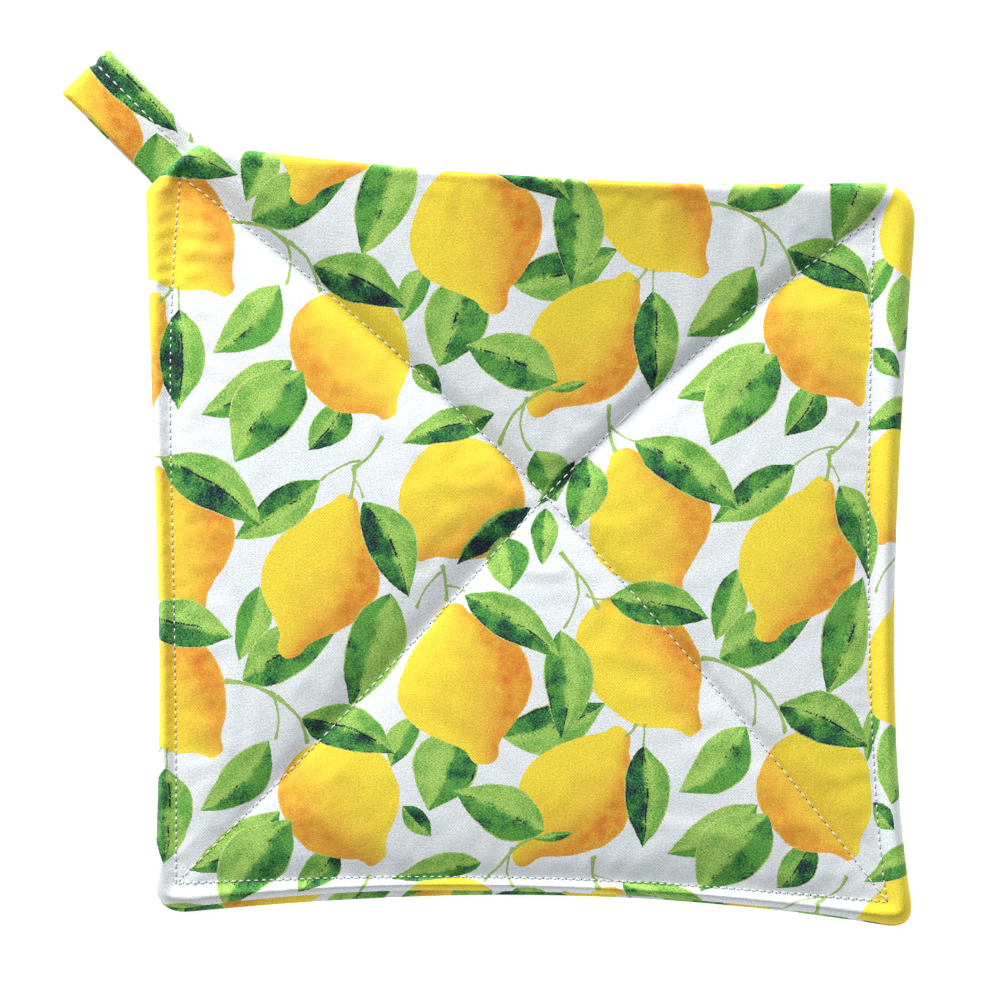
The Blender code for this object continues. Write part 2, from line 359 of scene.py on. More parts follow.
# Each motif runs from its first end to its second. side: +1 puts a leaf's dark half or a
# lemon's blush on the left of that way, -1 on its right. tone: a leaf's from 0, pale, to 1,
# dark; a lemon's share of blush. bend: how far its middle bows to the left, in mm.
Motif = namedtuple("Motif", "kind x y to_x to_y width bend side tone", defaults=(1, 0))
PRINT = [Motif(*row) for row in (
    ("leaf", -49, 37, -59, 23, 10, 1, 1, 0.9), ("leaf", -72, -14, -78, -33, 9, 1, -1, 0.15),
    ("leaf", -17, 70, -24, 46, 17, 1, 1, 0.45), ("leaf", -27, 73, -34, 58, 8, -1, 1, 0.1),
    ("leaf", -4, 68, 24, 78, 13, -2, 1, 0.6), ("leaf", -31, 47, -23, 39, 6, 0, 1, 0.6),
    ("stem", -79, 86, -65, 81, 1.4, 1.0), ("stem", -65, 81, -56, 67, 1.3, 1.5),
    ("stem", -66, 82, -65, 69, 1.0, 1.5), ("leaf", -74, 86, -49, 97, 14, 1, -1, 0.4),
    ("pear", -18, 105, -8, 60, 36, -1, 1, 0.7), ("lemon", 21, 105, 48, 71, 29, 0, 1, 0.6),
    ("lemon", -58, 65, -37, 32, 30, 1, -1, 0.45), ("pear", 29, 71, 1, 33, 31, 1, 1, 0.65),
    ("lemon", -8, 24, -31, -6, 34, 1, 1, 0.45), ("pear", -48, 11, -65, -33, 32, 1, 1, 0.65),
    ("pear", 25, 24, 39, -18, 33, 1, 1, 0.5), ("stem", -39, 27, -47, 18, 1.4, 1.0),
    ("stem", -47, 18, -48, 10, 1.5, 0.5), ("stem", -45, 20, -56, 15, 0.9, -1.0),
    ("stem", -47, 15, -44, 10, 0.8, 0.5), ("stem", 6, 41, -8, 25, 1.4, -2.0),
    ("stem", 0, 38, 1, 23, 1.0, -2.0), ("leaf", 16, 42, 5, 40, 2.5, 0.5, 1, 0.5),
    ("stem", 22, 36, 24, 23, 1.3, -1.0), ("stem", 22, 30, 30, 26, 0.8, -0.5),
    ("stem", 9, -4, 19, -20, 1.4, 0.5), ("stem", 13, -10, 10, -25, 0.9, 1.5),
    ("stem", 15, -16, 23, -17, 0.9, -0.5), ("stem", -23, -8, -22, -18, 1.3, 0.5),
    ("stem", -23, -10, -30, -20, 0.9, -1.0), ("stem", -22, -14, -17, -15, 0.8, 0.5),
    ("stem", 32, 73, 29, 69, 1.1, 0.5), ("stem", 34, 73, 34, 67, 0.8, 0),
    ("leaf", 12, 98, 12, 68, 13, 2, -1, 0.5), ("leaf", -34, 108, -45, 76, 15, 1, -1, 0.35),
    ("leaf", -58, 74, -33, 62, 12, 2, -1, 0.85), ("leaf", -67, 69, -85, 50, 13, 2.5, 1, 0.15),
    ("leaf", -64, 48, -88, 33, 12, 2, 1, 0.2), ("leaf", -61, 45, -79, 20, 18, -2, 1, 0.3),
    ("leaf", 8, 42, -17, 52, 14, -1, 1, 0.3), ("leaf", 34, 67, 34, 39, 12, 1, -1, 0.8),
    ("leaf", -9, 33, -34, 25, 9, -1, 1, 0.6), ("leaf", 2, 23, 8, 10, 11, 1, -1, 0.5),
    # The wholly dark leaves from (1, 8) and from (13, 21), along the second line of quilting
    # beside the crossing, are partly print and partly painted shade for the deep crease there.
    ("leaf", 16, 22, 12, 2, 11, 2, -1, 0.35), ("leaf", 1, 8, -19, -8, 7, -1, 1, 1.0),
    ("leaf", 13, 21, 2, 8, 4, 0, 1, 1.0), ("leaf", 5, 8, 4, -8, 7, 0, -1, 0.45),
    ("leaf", -7, 0, -5, -15, 11, 1, 1, 0.2), ("leaf", -56, 15, -79, -1, 11, 1, -1, 0.6),
    ("leaf", 29, 26, 57, 7, 13, 2, -1, 0.65), ("leaf", -44, 9, -32, -17, 13, 2, -1, 0.75),
    ("leaf", 22, -17, 49, -22, 12, 1, -1, 0.75), ("leaf", -17, -16, 9, -33, 11, 1, -1, 0.75),
)]

# Half width along each kind of motif, as shares, between its first end (-1) and its second (1).
PROFILES = {
    "leaf": ((-0.85, 0.36), (-0.5, 0.86), (-0.15, 1.0), (0.3, 0.83), (0.7, 0.42), (0.9, 0.14)),
    "lemon": ((-0.97, 0.25), (-0.85, 0.58), (-0.6, 0.87), (-0.25, 1.0), (0.15, 0.97),
              (0.45, 0.80), (0.65, 0.54), (0.78, 0.31), (0.88, 0.21), (0.96, 0.16)),
    "pear": ((-0.97, 0.15), (-0.83, 0.28), (-0.69, 0.50), (-0.45, 0.77), (-0.15, 0.97),
             (0.08, 1.0), (0.33, 0.88), (0.5, 0.69), (0.65, 0.45), (0.77, 0.27), (0.94, 0.17)),
    "stem": ((-0.98, 0.95), (-0.6, 0.7), (0.6, 0.65), (0.95, 1.0)),
}
TIP = 0.00001     # and at its ends, where it can't be nothing

# Each kind's mark in the print so far; a motif's tone is added to it as a fraction.
KIND = {"leaf": 1, "lemon": 2, "pear": 2, "stem": 3}
TONE_SPAN = 0.9
LEAF_MARKS = 1.22, 0.73     # the middle of a leaf's marks, and how far they can be from it


def add_node(tree, kind, inputs, **settings):
    """Shader node with its settings; each input is a value or another node's socket."""
    node = tree.nodes.new(f"ShaderNode{kind}")
    for name, value in settings.items():
        setattr(node, name, value)
    for socket, value in inputs.items():
        if isinstance(value, bpy.types.NodeSocket):
            tree.links.new(value, node.inputs[socket])
        else:
            node.inputs[socket].default_value = value
    return node


def add_math(tree, operation, *values):
    """Math node's result."""
    return add_node(tree, "Math", dict(enumerate(values)), operation=operation).outputs[0]


def add_vector_math(tree, operation, *values):
    """Vector Math node's result."""
    node = add_node(tree, "VectorMath", dict(enumerate(values)), operation=operation)
    return node.outputs["Value" if operation == "DOT_PRODUCT" else "Vector"]


def add_curve(tree, value, points):
    """Float Curve of a value through a few points."""
    node = tree.nodes.new("ShaderNodeFloatCurve")
    mapping = node.mapping
    mapping.extend = "HORIZONTAL"
    mapping.clip_min_x, mapping.clip_min_y = points[0][0], 0.0
    mapping.clip_max_x, mapping.clip_max_y = points[-1][0], 1.0
    line = mapping.curves[0].points
    line[0].location, line[1].location = points[0], points[-1]
    for x, y in points[1:-1]:
        line.new(x, y)
    mapping.update()
    tree.links.new(value, node.inputs["Value"])
    return node.outputs[0]


def add_mix(tree, kind, factor, first, second):
    """Mix of two colours or vectors by a factor."""
    one, other, result = {"RGBA": (6, 7, 2), "VECTOR": (4, 5, 1)}[kind]
    inputs = {0: factor, one: first, other: second}
    return add_node(tree, "Mix", inputs, data_type=kind).outputs[result]


def add_noise(tree, place, scale, detail=2.0, roughness=0.5, output=0):
    """Noise texture over the cloth; scale is in features per mm."""
    inputs = {"Vector": place, "Scale": scale, "Detail": detail, "Roughness": roughness}
    return add_node(tree, "TexNoise", inputs, noise_dimensions="2D").outputs[output]


def add_yarn_noise(tree, cloth, right, up, detail=2.0):
    """Noise drawn out along the yarns, with its features per mm to the right and upwards."""
    return add_noise(tree, add_vector_math(tree, "MULTIPLY", cloth, (right, up, 0)), 1.0, detail)


def add_sockets(tree, way, kind, *names):
    """Sockets of one kind into or out of a node group."""
    for name in names:
        tree.interface.new_socket(name, in_out=way, socket_type=f"NodeSocket{kind}")


def make_motif_group(kind):
    """Node group that lays one motif over the print so far. The print so far is a vector: how
    far along its motif a point is, how far to the side, and the motif's kind and tone."""
    tree = bpy.data.node_groups.new(f"{kind} motif", "ShaderNodeTree")
    add_sockets(tree, "INPUT", "Vector", "Place", "Below", "Top right", "Bottom left", "Along",
                "Across")
    add_sockets(tree, "INPUT", "Float", "Bend", "Kind and tone")
    add_sockets(tree, "OUTPUT", "Vector", "Print")
    given = tree.nodes.new("NodeGroupInput").outputs
    place = add_vector_math(tree, "WRAP", given["Place"], given["Top right"],
                            given["Bottom left"])
    along = add_vector_math(tree, "DOT_PRODUCT", place, given["Along"])
    across = add_vector_math(tree, "DOT_PRODUCT", place, given["Across"])
    squared = add_math(tree, "MULTIPLY", along, along)
    bent = add_math(tree, "MULTIPLY_ADD", squared, given["Bend"], across)
    bent = add_math(tree, "SUBTRACT", bent, given["Bend"])
    half_width = add_curve(tree, along, ((-1, TIP), *PROFILES[kind], (1, TIP)))
    side = add_math(tree, "DIVIDE", bent, half_width)
    inside = add_math(tree, "COMPARE", side, 0.0, FRINGE if kind == "leaf" else 1.0)
    mark = add_node(tree, "CombineXYZ", {0: along, 1: side, 2: given["Kind and tone"]})
    laid = add_mix(tree, "VECTOR", inside, given["Below"], mark.outputs[0])
    tree.links.new(laid, tree.nodes.new("NodeGroupOutput").inputs[0])
    return tree


def lay_motif(tree, group, motif, place, below):
    """Lay one motif of the table over the print so far."""
    first = Vector(on_print(motif.x, motif.y))
    last = Vector(on_print(motif.to_x, motif.to_y))
    middle, reach = 0.5 * (first + last), 0.5 * (last - first)
    along = reach / reach.length_squared
    half_width = 0.5 * motif.width
    across = Vector((-reach.y, reach.x)).normalized() * motif.side / half_width
    return add_node(tree, "Group", {
        "Place": place,
        "Below": below,
        "Top right": (middle.x + REPEAT[0] / 2, middle.y + REPEAT[1] / 2, 2),
        "Bottom left": (middle.x - REPEAT[0] / 2, middle.y - REPEAT[1] / 2, 0),
        "Along": (*along, -along.dot(middle)),
        "Across": (*across, -across.dot(middle)),
        "Bend": motif.bend * motif.side / half_width,
        "Kind and tone": KIND[motif.kind] + TONE_SPAN * motif.tone,
    }, node_tree=group).outputs[0]


def srgb(red, green, blue):
    """Linear colour of an sRGB one, given out of 255."""
    return (*(((c / 255 + 0.055) / 1.055) ** 2.4 if c > 10 else c / 3294.6
              for c in (red, green, blue)), 1)


WHITE_GROUND = srgb(238, 243, 247)
LEMON_YELLOW, LEMON_GOLD = srgb(250, 226, 68), srgb(240, 188, 66)
LEMON_FRINGE, LEMON_BLUSH = srgb(248, 226, 120), srgb(226, 128, 44)
LEAF_PALE, LEAF_MID = srgb(170, 212, 104), srgb(98, 168, 72)
LEAF_DARK, LEAF_INK = srgb(24, 104, 60), srgb(10, 38, 54)
LEAF_FRINGE, STEM_GREEN = srgb(200, 222, 134), srgb(168, 198, 108)

# How strongly the cloth's own yarns show in the print.
WARP_PITCH, WEFT_PITCH = 0.39, 0.46    # from one yarn to the next, in mm
WEFT_STREAKS, WARP_STREAKS, GRAIN, CROSSINGS = 0.12, 0.08, 0.14, 0.12
UPRIGHT_FLECKS = 0.7                   # how strong the warp's flecks are beside the weft's
# The flecks' white is partly bare white yarn and partly painted sheen on the yarns' tops.
FLECK_SHADE, FLECK_WHITE_AND_SHEEN = 0.50, (0.10, 0.10, 0.10)
DARKEST = (0.002, 0.002, 0.002)
YARN_RELIEF = 0.04                     # how far the yarns stand out of the cloth, in mm


def make_print_group():
    """Node group of the whole print: place on the cloth in, colour out."""
    tree = bpy.data.node_groups.new("lemon and leaf print", "ShaderNodeTree")
    add_sockets(tree, "INPUT", "Vector", "Place")
    add_sockets(tree, "OUTPUT", "Color", "Color")
    cloth = tree.nodes.new("NodeGroupInput").outputs[0]
    calc, vectors, curve = (partial(tool, tree)
                            for tool in (add_math, add_vector_math, add_curve))
    times, scaled = partial(calc, "MULTIPLY"), partial(calc, "MULTIPLY_ADD")
    blend = partial(add_mix, tree, "RGBA")
    noise, yarn_noise = partial(add_noise, tree, cloth), partial(add_yarn_noise, tree, cloth)

    # Ink spreads unevenly along the yarns, so every printed edge is slightly ragged, and the
    # motifs were painted freehand.
    ragged = noise(1.9, detail=1.0, output=1)
    ragged = vectors("MULTIPLY_ADD", ragged, (0.36, 0.36, 0), (-0.18, -0.18, 1))
    freehand = noise(0.085, output=1)
    freehand = vectors("MULTIPLY_ADD", freehand, (1.6, 1.6, 0), (-0.8, -0.8, 0))
    place = vectors("ADD", vectors("ADD", cloth, ragged), freehand)

    groups = {kind: make_motif_group(kind) for kind in PROFILES}
    state = add_node(tree, "CombineXYZ", {}).outputs[0]
    for motif in PRINT:
        state = lay_motif(tree, groups[motif.kind], motif, place, state)
    along, side, kind_and_tone = add_node(tree, "SeparateXYZ", {0: state}).outputs
    tone = calc("FRACT", kind_and_tone)
    spread = calc("ABSOLUTE", side)

    wash = noise(0.11, detail=1.0)
    blot = noise(0.30, detail=3.0, roughness=0.6)
    grain = noise(1.7, detail=1.0, roughness=0.7)
    mottle = calc("ADD", scaled(wash, 2.0, -1.0), scaled(blot, 1.6, -0.8))
    speckle = scaled(grain, 1.6, -0.8)

    # Leaves: a light half and a dark half, washed in soft mottles and speckled. The darkest ones
    # have navy flecks and a fine ink line along the midrib and the dark half's edge.
    light_tone = scaled(mottle, 0.7, calc("ADD", speckle, 0.15))
    light_tone = scaled(tone, 0.7, light_tone)
    streak = curve(side, ((-1, 0), (-0.5, 0.1), (-0.25, 1), (-0.03, 0.4), (1, 0)))
    light = blend(scaled(streak, -0.4, light_tone), LEAF_PALE, LEAF_MID)
    dark_tone = scaled(mottle, 1.3, calc("ADD", speckle, -0.2))
    dark_tone = scaled(tone, 1.4, dark_tone)
    dark = blend(dark_tone, LEAF_MID, LEAF_DARK)
    dark = blend(scaled(dark_tone, 1.7, -1.7), dark, LEAF_INK)
    # Tones near 1 darken the light half as well, so the leaf turns wholly dark. For the leaves
    # beside the crossing this is partly painted shade.
    gloom = calc("MAXIMUM", scaled(tone, 60.0, -50.0), 0.0)
    leaf = blend(scaled(side, 5.0, scaled(mottle, 1.2, gloom)), light, dark)
    inked = calc("GREATER_THAN", scaled(along, 0.3, dark_tone), 0.62)
    midrib = times(calc("LESS_THAN", spread, 0.05), inked)
    rim = times(calc("GREATER_THAN", side, 0.92), inked)
    leaf = blend(calc("MAXIMUM", midrib, rim), leaf, LEAF_INK)
    leaf = blend(scaled(spread, 16.0, -15.6), leaf, LEAF_FRINGE)

    # Lemons: yellow, golden towards the far end and the blushed side, with a streaky orange
    # blush in an arc just inside that side's edge, and a thin pale fringe.
    golden = scaled(side, 0.75, times(along, 0.35))
    golden = scaled(speckle, 0.25, calc("ADD", golden, 0.42))
    lemon = blend(scaled(mottle, 0.35, golden), LEMON_YELLOW, LEMON_GOLD)
    blush = curve(side, ((-1, 0), (0.1, 0.0), (0.45, 0.35), (0.72, 1), (1, 0.3)))
    middle = curve(along, ((-1, 0.25), (-0.7, 0.6), (-0.1, 1), (0.5, 0.8), (1, 0.5)))
    blush = times(blush, times(middle, tone))
    blush = times(blush, calc("ADD", scaled(blot, 2.6, grain), -0.70))
    lemon = blend(blush, lemon, LEMON_BLUSH)
    lemon = blend(scaled(spread, 26.0, -25.4), lemon, LEMON_FRINGE)

    # Stems: green all along, darker at their edges.
    stem = scaled(calc("POWER", spread, 3.0), 0.3, times(mottle, 0.5))
    stem = blend(stem, STEM_GREEN, LEAF_MID)
    colour = WHITE_GROUND
    for mark, motif_colour in ((0.5, leaf), (1.95, lemon), (2.95, stem)):
        colour = blend(calc("GREATER_THAN", kind_and_tone, mark), colour, motif_colour)

    # The yarns stand out in the print as a fine plain weave, as grain and as faint streaks.
    turns = (pi / WARP_PITCH, pi / WEFT_PITCH, 0)
    over = vectors("SINE", vectors("MULTIPLY", cloth, turns))
    across, upward, _ = add_node(tree, "SeparateXYZ", {0: over}).outputs
    yarns = times(yarn_noise(1.7, 0.30), WARP_STREAKS)
    yarns = scaled(yarn_noise(0.30, 1.7), WEFT_STREAKS, yarns)
    yarns = scaled(grain, GRAIN, yarns)
    yarns = scaled(times(across, upward), CROSSINGS, yarns)
    yarns = calc("ADD", yarns, 1.0 - 0.5 * (WEFT_STREAKS + WARP_STREAKS + GRAIN))

    # Short bare lengths of both yarns fleck it as well, twice as strongly in the leaves. The white
    # added in the flecks is partly that bare white yarn and partly painted sheen on the yarns'
    # tops.
    in_leaf = calc("COMPARE", kind_and_tone, *LEAF_MARKS)
    flecks = scaled(yarn_noise(4.3, 2.0, 1.0), UPRIGHT_FLECKS, yarn_noise(1.7, 4.3, 1.0))
    flecks = calc("ADD", flecks, -0.5 * (1.0 + UPRIGHT_FLECKS))
    flecks = times(flecks, calc("ADD", in_leaf, 1.0))
    yarns = scaled(flecks, FLECK_SHADE, yarns)
    woven = add_node(tree, "VectorMath", {0: colour, "Scale": yarns}, operation="SCALE")
    colour = vectors("MULTIPLY_ADD", flecks, FLECK_WHITE_AND_SHEEN, woven.outputs[0])
    colour = vectors("MAXIMUM", colour, DARKEST)
    tree.links.new(colour, tree.nodes.new("NodeGroupOutput").inputs[0])
    return tree


print_group = make_print_group()


def cover_in_cotton(piece, name):
    """Make a piece of printed plain-weave cotton, whose print and yarns lie on its cloth map."""
    cotton = new_material(name, {"Roughness": 0.85, "Specular IOR Level": 0.2,
                                 "Sheen Weight": 0.15, "Sheen Roughness": 0.5})
    tree = cotton.node_tree
    shader = tree.nodes["Principled BSDF"]
    cloth = add_node(tree, "UVMap", {}, uv_map="cloth").outputs[0]
    printed = add_node(tree, "Group", {}, node_tree=print_group)
    tree.links.new(cloth, printed.inputs["Place"])
    tree.links.new(printed.outputs[0], shader.inputs["Base Color"])
    relief = add_math(tree, "ADD", add_yarn_noise(tree, cloth, 0.35, 1.9),
                      add_yarn_noise(tree, cloth, 1.9, 0.35))
    weave = add_node(tree, "Bump", {"Distance": YARN_RELIEF * MM, "Strength": 1.0,
                                    "Height": relief})
    tree.links.new(weave.outputs[0], shader.inputs["Normal"])
    piece.data.materials.append(cotton)
    piece.data.shade_smooth()


front = build_panel("front_cloth", front_height)


def unrolled_reach(side, ring, place, width, height, back):
    """How far a border vertex is from the stitching along the cloth, in mm."""
    profile = [Vector((border_reach(side, inner, place, width, back), height(side, inner, place)))
               for inner in range(STITCHED_RINGS, ring + 1)]
    return sum((after - before).length for before, after in zip(profile, profile[1:]))


# Sewing drags the cloth, and its print with it, a few mm askew around some places.
Drag = namedtuple("Drag", "x y right up reach")
DRAGS = [Drag(*row) for row in (
    (-104.0, 108.6, -7.5, 6.5, 25.0),
    (-86.0, -55.0, 0.5, -3.2, 24.0),
    (-38.0, -80.0, 0.3, 3.0, 30.0),
    (62.0, -68.0, 0.3, -2.2, 30.0),
    (8.0, -100.0, -2.2, 1.2, 20.0),
    (108.0, -112.0, -5.0, 1.0, 22.0),
)]


def map_cloth(panel, height, back=False):
    """Cloth map in mm: as seen from above inside the stitching, and unrolled beyond it."""
    layer = panel.data.uv_layers[0]
    layer.name = "cloth"
    places = []
    for side, ring, place in grid_places(panel):
        if ring <= STITCHED_RINGS:
            point = plan_point(side, ring, place, back)
        else:
            start, outward, width = border_line(side, place)
            point = start + outward * unrolled_reach(side, ring, place, width, height, back)
        if ring >= STITCHED_RINGS and not back:
            point -= Vector(side.inward) * side.hidden * (1 - place ** 4)
        places.append(point)
    for corner in panel.data.loops:
        x, y = places[corner.vertex_index]
        pulls = [(drag, exp(-((x - drag.x) ** 2 + (y - drag.y) ** 2) / drag.reach ** 2))
                 for drag in DRAGS]
        x -= PRINT_START.x + sum(drag.right * share for drag, share in pulls)
        y -= PRINT_START.y + sum(drag.up * share for drag, share in pulls)
        if back:
            x, y = BACK_PRINT_SHIFT.x - x, BACK_PRINT_SHIFT.y + y
        layer.data[corner.index].uv = on_print(x, y)


# Where the stitching gathers the cloth it stands up in soft slanting folds. Each runs from one
# point to another; width is half its own width, and all sizes are in mm.
Fold = namedtuple("Fold", "x y to_x to_y width height")
FOLDS = [Fold(*row) for row in (
    (-102.5, 84.6, -96.0, 88.4, 1.6, 0.2), (-102.5, 80.2, -95.6, 83.1, 1.6, 0.24),
    (-102.0, 75.5, -95.6, 79.5, 1.5, 0.2), (-101.0, 71.8, -95.4, 73.8, 1.3, 0.18),
    (-101.5, 67.4, -95.4, 69.2, 1.2, 0.28), (-102.5, 92.5, -96.0, 94.5, 1.6, 0.24),
    (-94.6, 82.6, -84.0, 80.9, 1.8, 0.48), (-94.6, 76.2, -79.0, 75.2, 2.1, 0.56),
    (-94.2, 90.0, -85.0, 86.2, 1.8, 0.28), (-94.8, 70.4, -85.0, 69.8, 1.6, 0.24),
    (-4.0, -11.8, 11.0, -12.4, 2.2, 0.44), (-12.0, 20.0, -3.0, 15.0, 2.0, 0.16),
    (9.0, 26.0, 12.0, 18.0, 2.2, 0.16), (-95.5, -90.0, -89.0, -84.0, 1.6, 0.28),
    (-92.0, -97.0, -84.0, -92.5, 1.5, 0.28), (-97.5, -97.0, -99.5, -88.0, 1.6, 0.2),
    (-60.0, -98.5, -57.5, -104.0, 1.4, 0.12), (-33.0, -98.0, -30.5, -103.5, 1.5, 0.14),
    (27.0, -97.5, 28.5, -103.0, 1.5, 0.14), (58.0, -98.5, 60.0, -104.5, 1.4, 0.12),
    (93.5, 70.0, 100.5, 72.0, 1.6, 0.1), (93.5, -64.0, 99.5, -66.5, 1.6, 0.12),
    (-96.5, 30.0, -102.0, 27.5, 1.5, 0.14), (-96.5, -22.0, -101.5, -24.5, 1.5, 0.14),
    (-95.5, -58.0, -101.0, -60.0, 1.5, 0.16),
)]


def raise_folds(panel):
    """Lift the cloth along its folds, most along their middles."""
    places = np.empty(3 * len(panel.data.vertices))
    panel.data.vertices.foreach_get("co", places)
    places = places.reshape(-1, 3)
    flat = (places[:, :2] - np.array(PANEL_SHIFT)) / MM
    for fold in FOLDS:
        start, way = np.array((fold.x, fold.y)), np.array((fold.to_x - fold.x, fold.to_y - fold.y))
        along = np.clip((flat - start) @ way / (way @ way), 0, 1)
        away = np.linalg.norm(flat - start - along[:, None] * way, axis=1)
        taper = 1 - (2 * along - 1) ** 4
        places[:, 2] += fold.height * MM * taper * np.exp(-(away / fold.width) ** 2)
    panel.data.vertices.foreach_set("co", places.ravel())
    panel.data.update()


def pick_up(piece):
    """Make a piece the one that the next tools work on."""
    bpy.ops.object.select_all(action="DESELECT")
    piece.select_set(True)
    bpy.context.view_layer.objects.active = piece


def smooth_cloth(piece):
    """One level of subdivision, applied."""
    pick_up(piece)
    smoothing = piece.modifiers.new("smooth", "SUBSURF")
    smoothing.levels = smoothing.render_levels = 1
    bpy.ops.object.modifier_apply(modifier="smooth")


def close_seam(panel):
    """Close a panel along the seam, with every face pointing outwards."""
    pick_up(panel)
    bpy.ops.object.mode_set(mode="EDIT")
    bpy.ops.mesh.select_all(action="DESELECT")
    bpy.ops.mesh.select_non_manifold()
    bpy.ops.mesh.edge_face_add()
    bpy.ops.mesh.select_all(action="SELECT")
    bpy.ops.mesh.normals_make_consistent(inside=False)
    bpy.ops.object.mode_set(mode="OBJECT")


map_cloth(front, front_height)

# The wadding swells the cloth between its stitches. The cloth is a little bigger than the plan
# it is sewn down on, so it gathers in small puckers along every line of needle holes.
SWELL_FRAMES = 22
SWELL_PRESSURE = 0.3
WADDING_HOLD = 0.1         # how firmly the wadding keeps the cloth's shape, next to a stitch
BORDER_HOLD = 0.6          # and how firmly the seam allowances fill the border
SPARE_CLOTH = 0.035        # how much longer the cloth is than the wadding, where it gathers
GATHER_REACH = 7.0         # how fast the gathering fades away from a line of stitching, in mm
QUILTING_GATHER = 0.3      # share of the spare cloth that the quilting gathers
SWELL_LIMIT = 5.0          # furthest that the cloth may move, in mm


def swell(panel):
    """Blow the sewn-down cloth up with Blender's cloth simulation, within a limit."""
    holes = panel.vertex_groups.new(name="needle holes")
    smooth = panel.vertex_groups.new(name="ungathered")
    planned = [vert.co.copy() for vert in panel.data.vertices]
    for index, (side, ring, place) in enumerate(grid_places(panel)):
        on_quilting = abs(abs(place) - 1) < 1e-6 and ring <= STITCHED_RINGS
        on_border = ring == STITCHED_RINGS and side.sewn
        on_seam = ring >= STITCHED_RINGS + BORDER_RINGS - 1
        hold = BORDER_HOLD if ring > STITCHED_RINGS else WADDING_HOLD
        if on_quilting or on_border or on_seam or ring == 0:
            hold = 1.0
        holes.add([index], hold, "REPLACE")
        nearest = min(quilting_distances(ring, place))
        gather = max(QUILTING_GATHER * exp(-nearest / GATHER_REACH),
                     side.gather * exp(-edge_distance(ring) / GATHER_REACH))
        smooth.add([index], 1 - min(1.0, gather), "REPLACE")

    cloth = panel.modifiers.new("wadding", "CLOTH")
    for setting, value in {
            "quality": 6, "mass": 0.05, "tension_stiffness": 20, "compression_stiffness": 20,
            "shear_stiffness": 8, "bending_stiffness": 0.3, "vertex_group_mass": "needle holes",
            "use_pressure": True, "uniform_pressure_force": SWELL_PRESSURE,
            "vertex_group_shrink": "ungathered", "shrink_min": -SPARE_CLOTH,
            "shrink_max": 0.0}.items():
        setattr(cloth.settings, setting, value)
    cloth.settings.effector_weights.gravity = 0
    cloth.collision_settings.use_collision = False
    cloth.point_cache.frame_start = 1
    cloth.point_cache.frame_end = SWELL_FRAMES
    for frame_number in range(1, SWELL_FRAMES + 1):
        scene.frame_set(frame_number)
    shaped = panel.evaluated_get(bpy.context.evaluated_depsgraph_get())
    swollen = [vert.co.copy() for vert in shaped.data.vertices]
    panel.modifiers.remove(cloth)
    scene.frame_set(1)
    for vert, start, end in zip(panel.data.vertices, planned, swollen):
        move = end - start
        move *= SWELL_LIMIT * MM / (SWELL_LIMIT * MM + move.length)
        vert.co = start + move
    panel.data.update()


swell(front)
smooth_cloth(front)
raise_folds(front)
close_seam(front)
cover_in_cotton(front, "front printed cotton")
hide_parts("front_panel")
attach(front, "root")

# ---- Back panel ----
# A second square of the same print, sewn to the front right sides together and turned out. It
# lies on the table, so it is flat but for the shallow grooves that the quilting draws up.
BACK_GROOVE = 1.2
BACK_GROOVE_WIDTH = 9.0
BACK_LIP = 0.5
BACK_PRINT_SHIFT = Vector((41.0, 77.0))   # where this square was cut from the cloth, in mm


def back_height(side, ring, place):
    """Height of the underside: flat, grooved by the quilting, and rounded up to the seam."""
    if ring <= STITCHED_RINGS:
        nearest = min(quilting_distances(ring, place))
        return BACK_GROOVE * max(0.0, 1 - nearest / BACK_GROOVE_WIDTH) ** 2
    tucked, rolled = tuck_share(ring), roll_over(side, place)
    lip = SEAM_HEIGHT + ROLL_CLIMB * rolled - (BACK_LIP + rolled) * (1 - tucked)
    if tucked:
        return lip
    return lip * (1 - sqrt(1 - border_share(ring) ** BACK_SQUARENESS))


back = build_panel("back_cloth", back_height, back=True)
map_cloth(back, back_height, back=True)
close_seam(back)
cover_in_cotton(back, "back printed cotton")
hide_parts("back_panel")
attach(back, "root")

# ---- Hanging loop ----
# A strip of the same cotton with its raw edges folded in and one line of stitching down it,
# bent back on itself and caught in the seam at the top left corner.
LOOP_ANGLE = radians(134.6)
LOOP_BASE = Vector((-96.0, 102.0))
LOOP_LENGTH = 35.0
LOOP_BASE_WIDTH = 17.3
LOOP_FOLD_WIDTH = 16.8
LOOP_SKEW = 1.0
LOOP_THICKNESS = 1.3
LOOP_OPENING = 4.5
LOOP_DROOP = 0.0042          # how fast the upper leg bows down away from the fold
LOOP_COLUMNS = 16
LOOP_FOLD_STEPS = 13
LOOP_STITCH_SIDE = 0.36      # where its stitching runs, as a share of the half width
LOOP_STITCH_DIP = 0.10       # how wide the groove along it is, as such a share
LOOP_PUCKER = 0.35           # and how deep, in mm
LOOP_NOTCH = 1.1             # how far the stitching draws in the folded end, in mm
LOOP_FLARE = 0.5             # how far the pressed fold spreads at each corner, in mm
LOOP_PRINT_START = Vector((-42.6, 5.4))
LOOP_PRINT_WAY = radians(-68)
LOOP_STRETCH = 1.25          # the strip was pulled longer as it was pressed and stitched

leg_touches = 0.5 * LOOP_THICKNESS
leg_top = 1.5 * LOOP_THICKNESS + LOOP_OPENING
fold_radius = 0.5 * (leg_top - leg_touches)
fold_along = LOOP_LENGTH - 0.5 * LOOP_THICKNESS - fold_radius

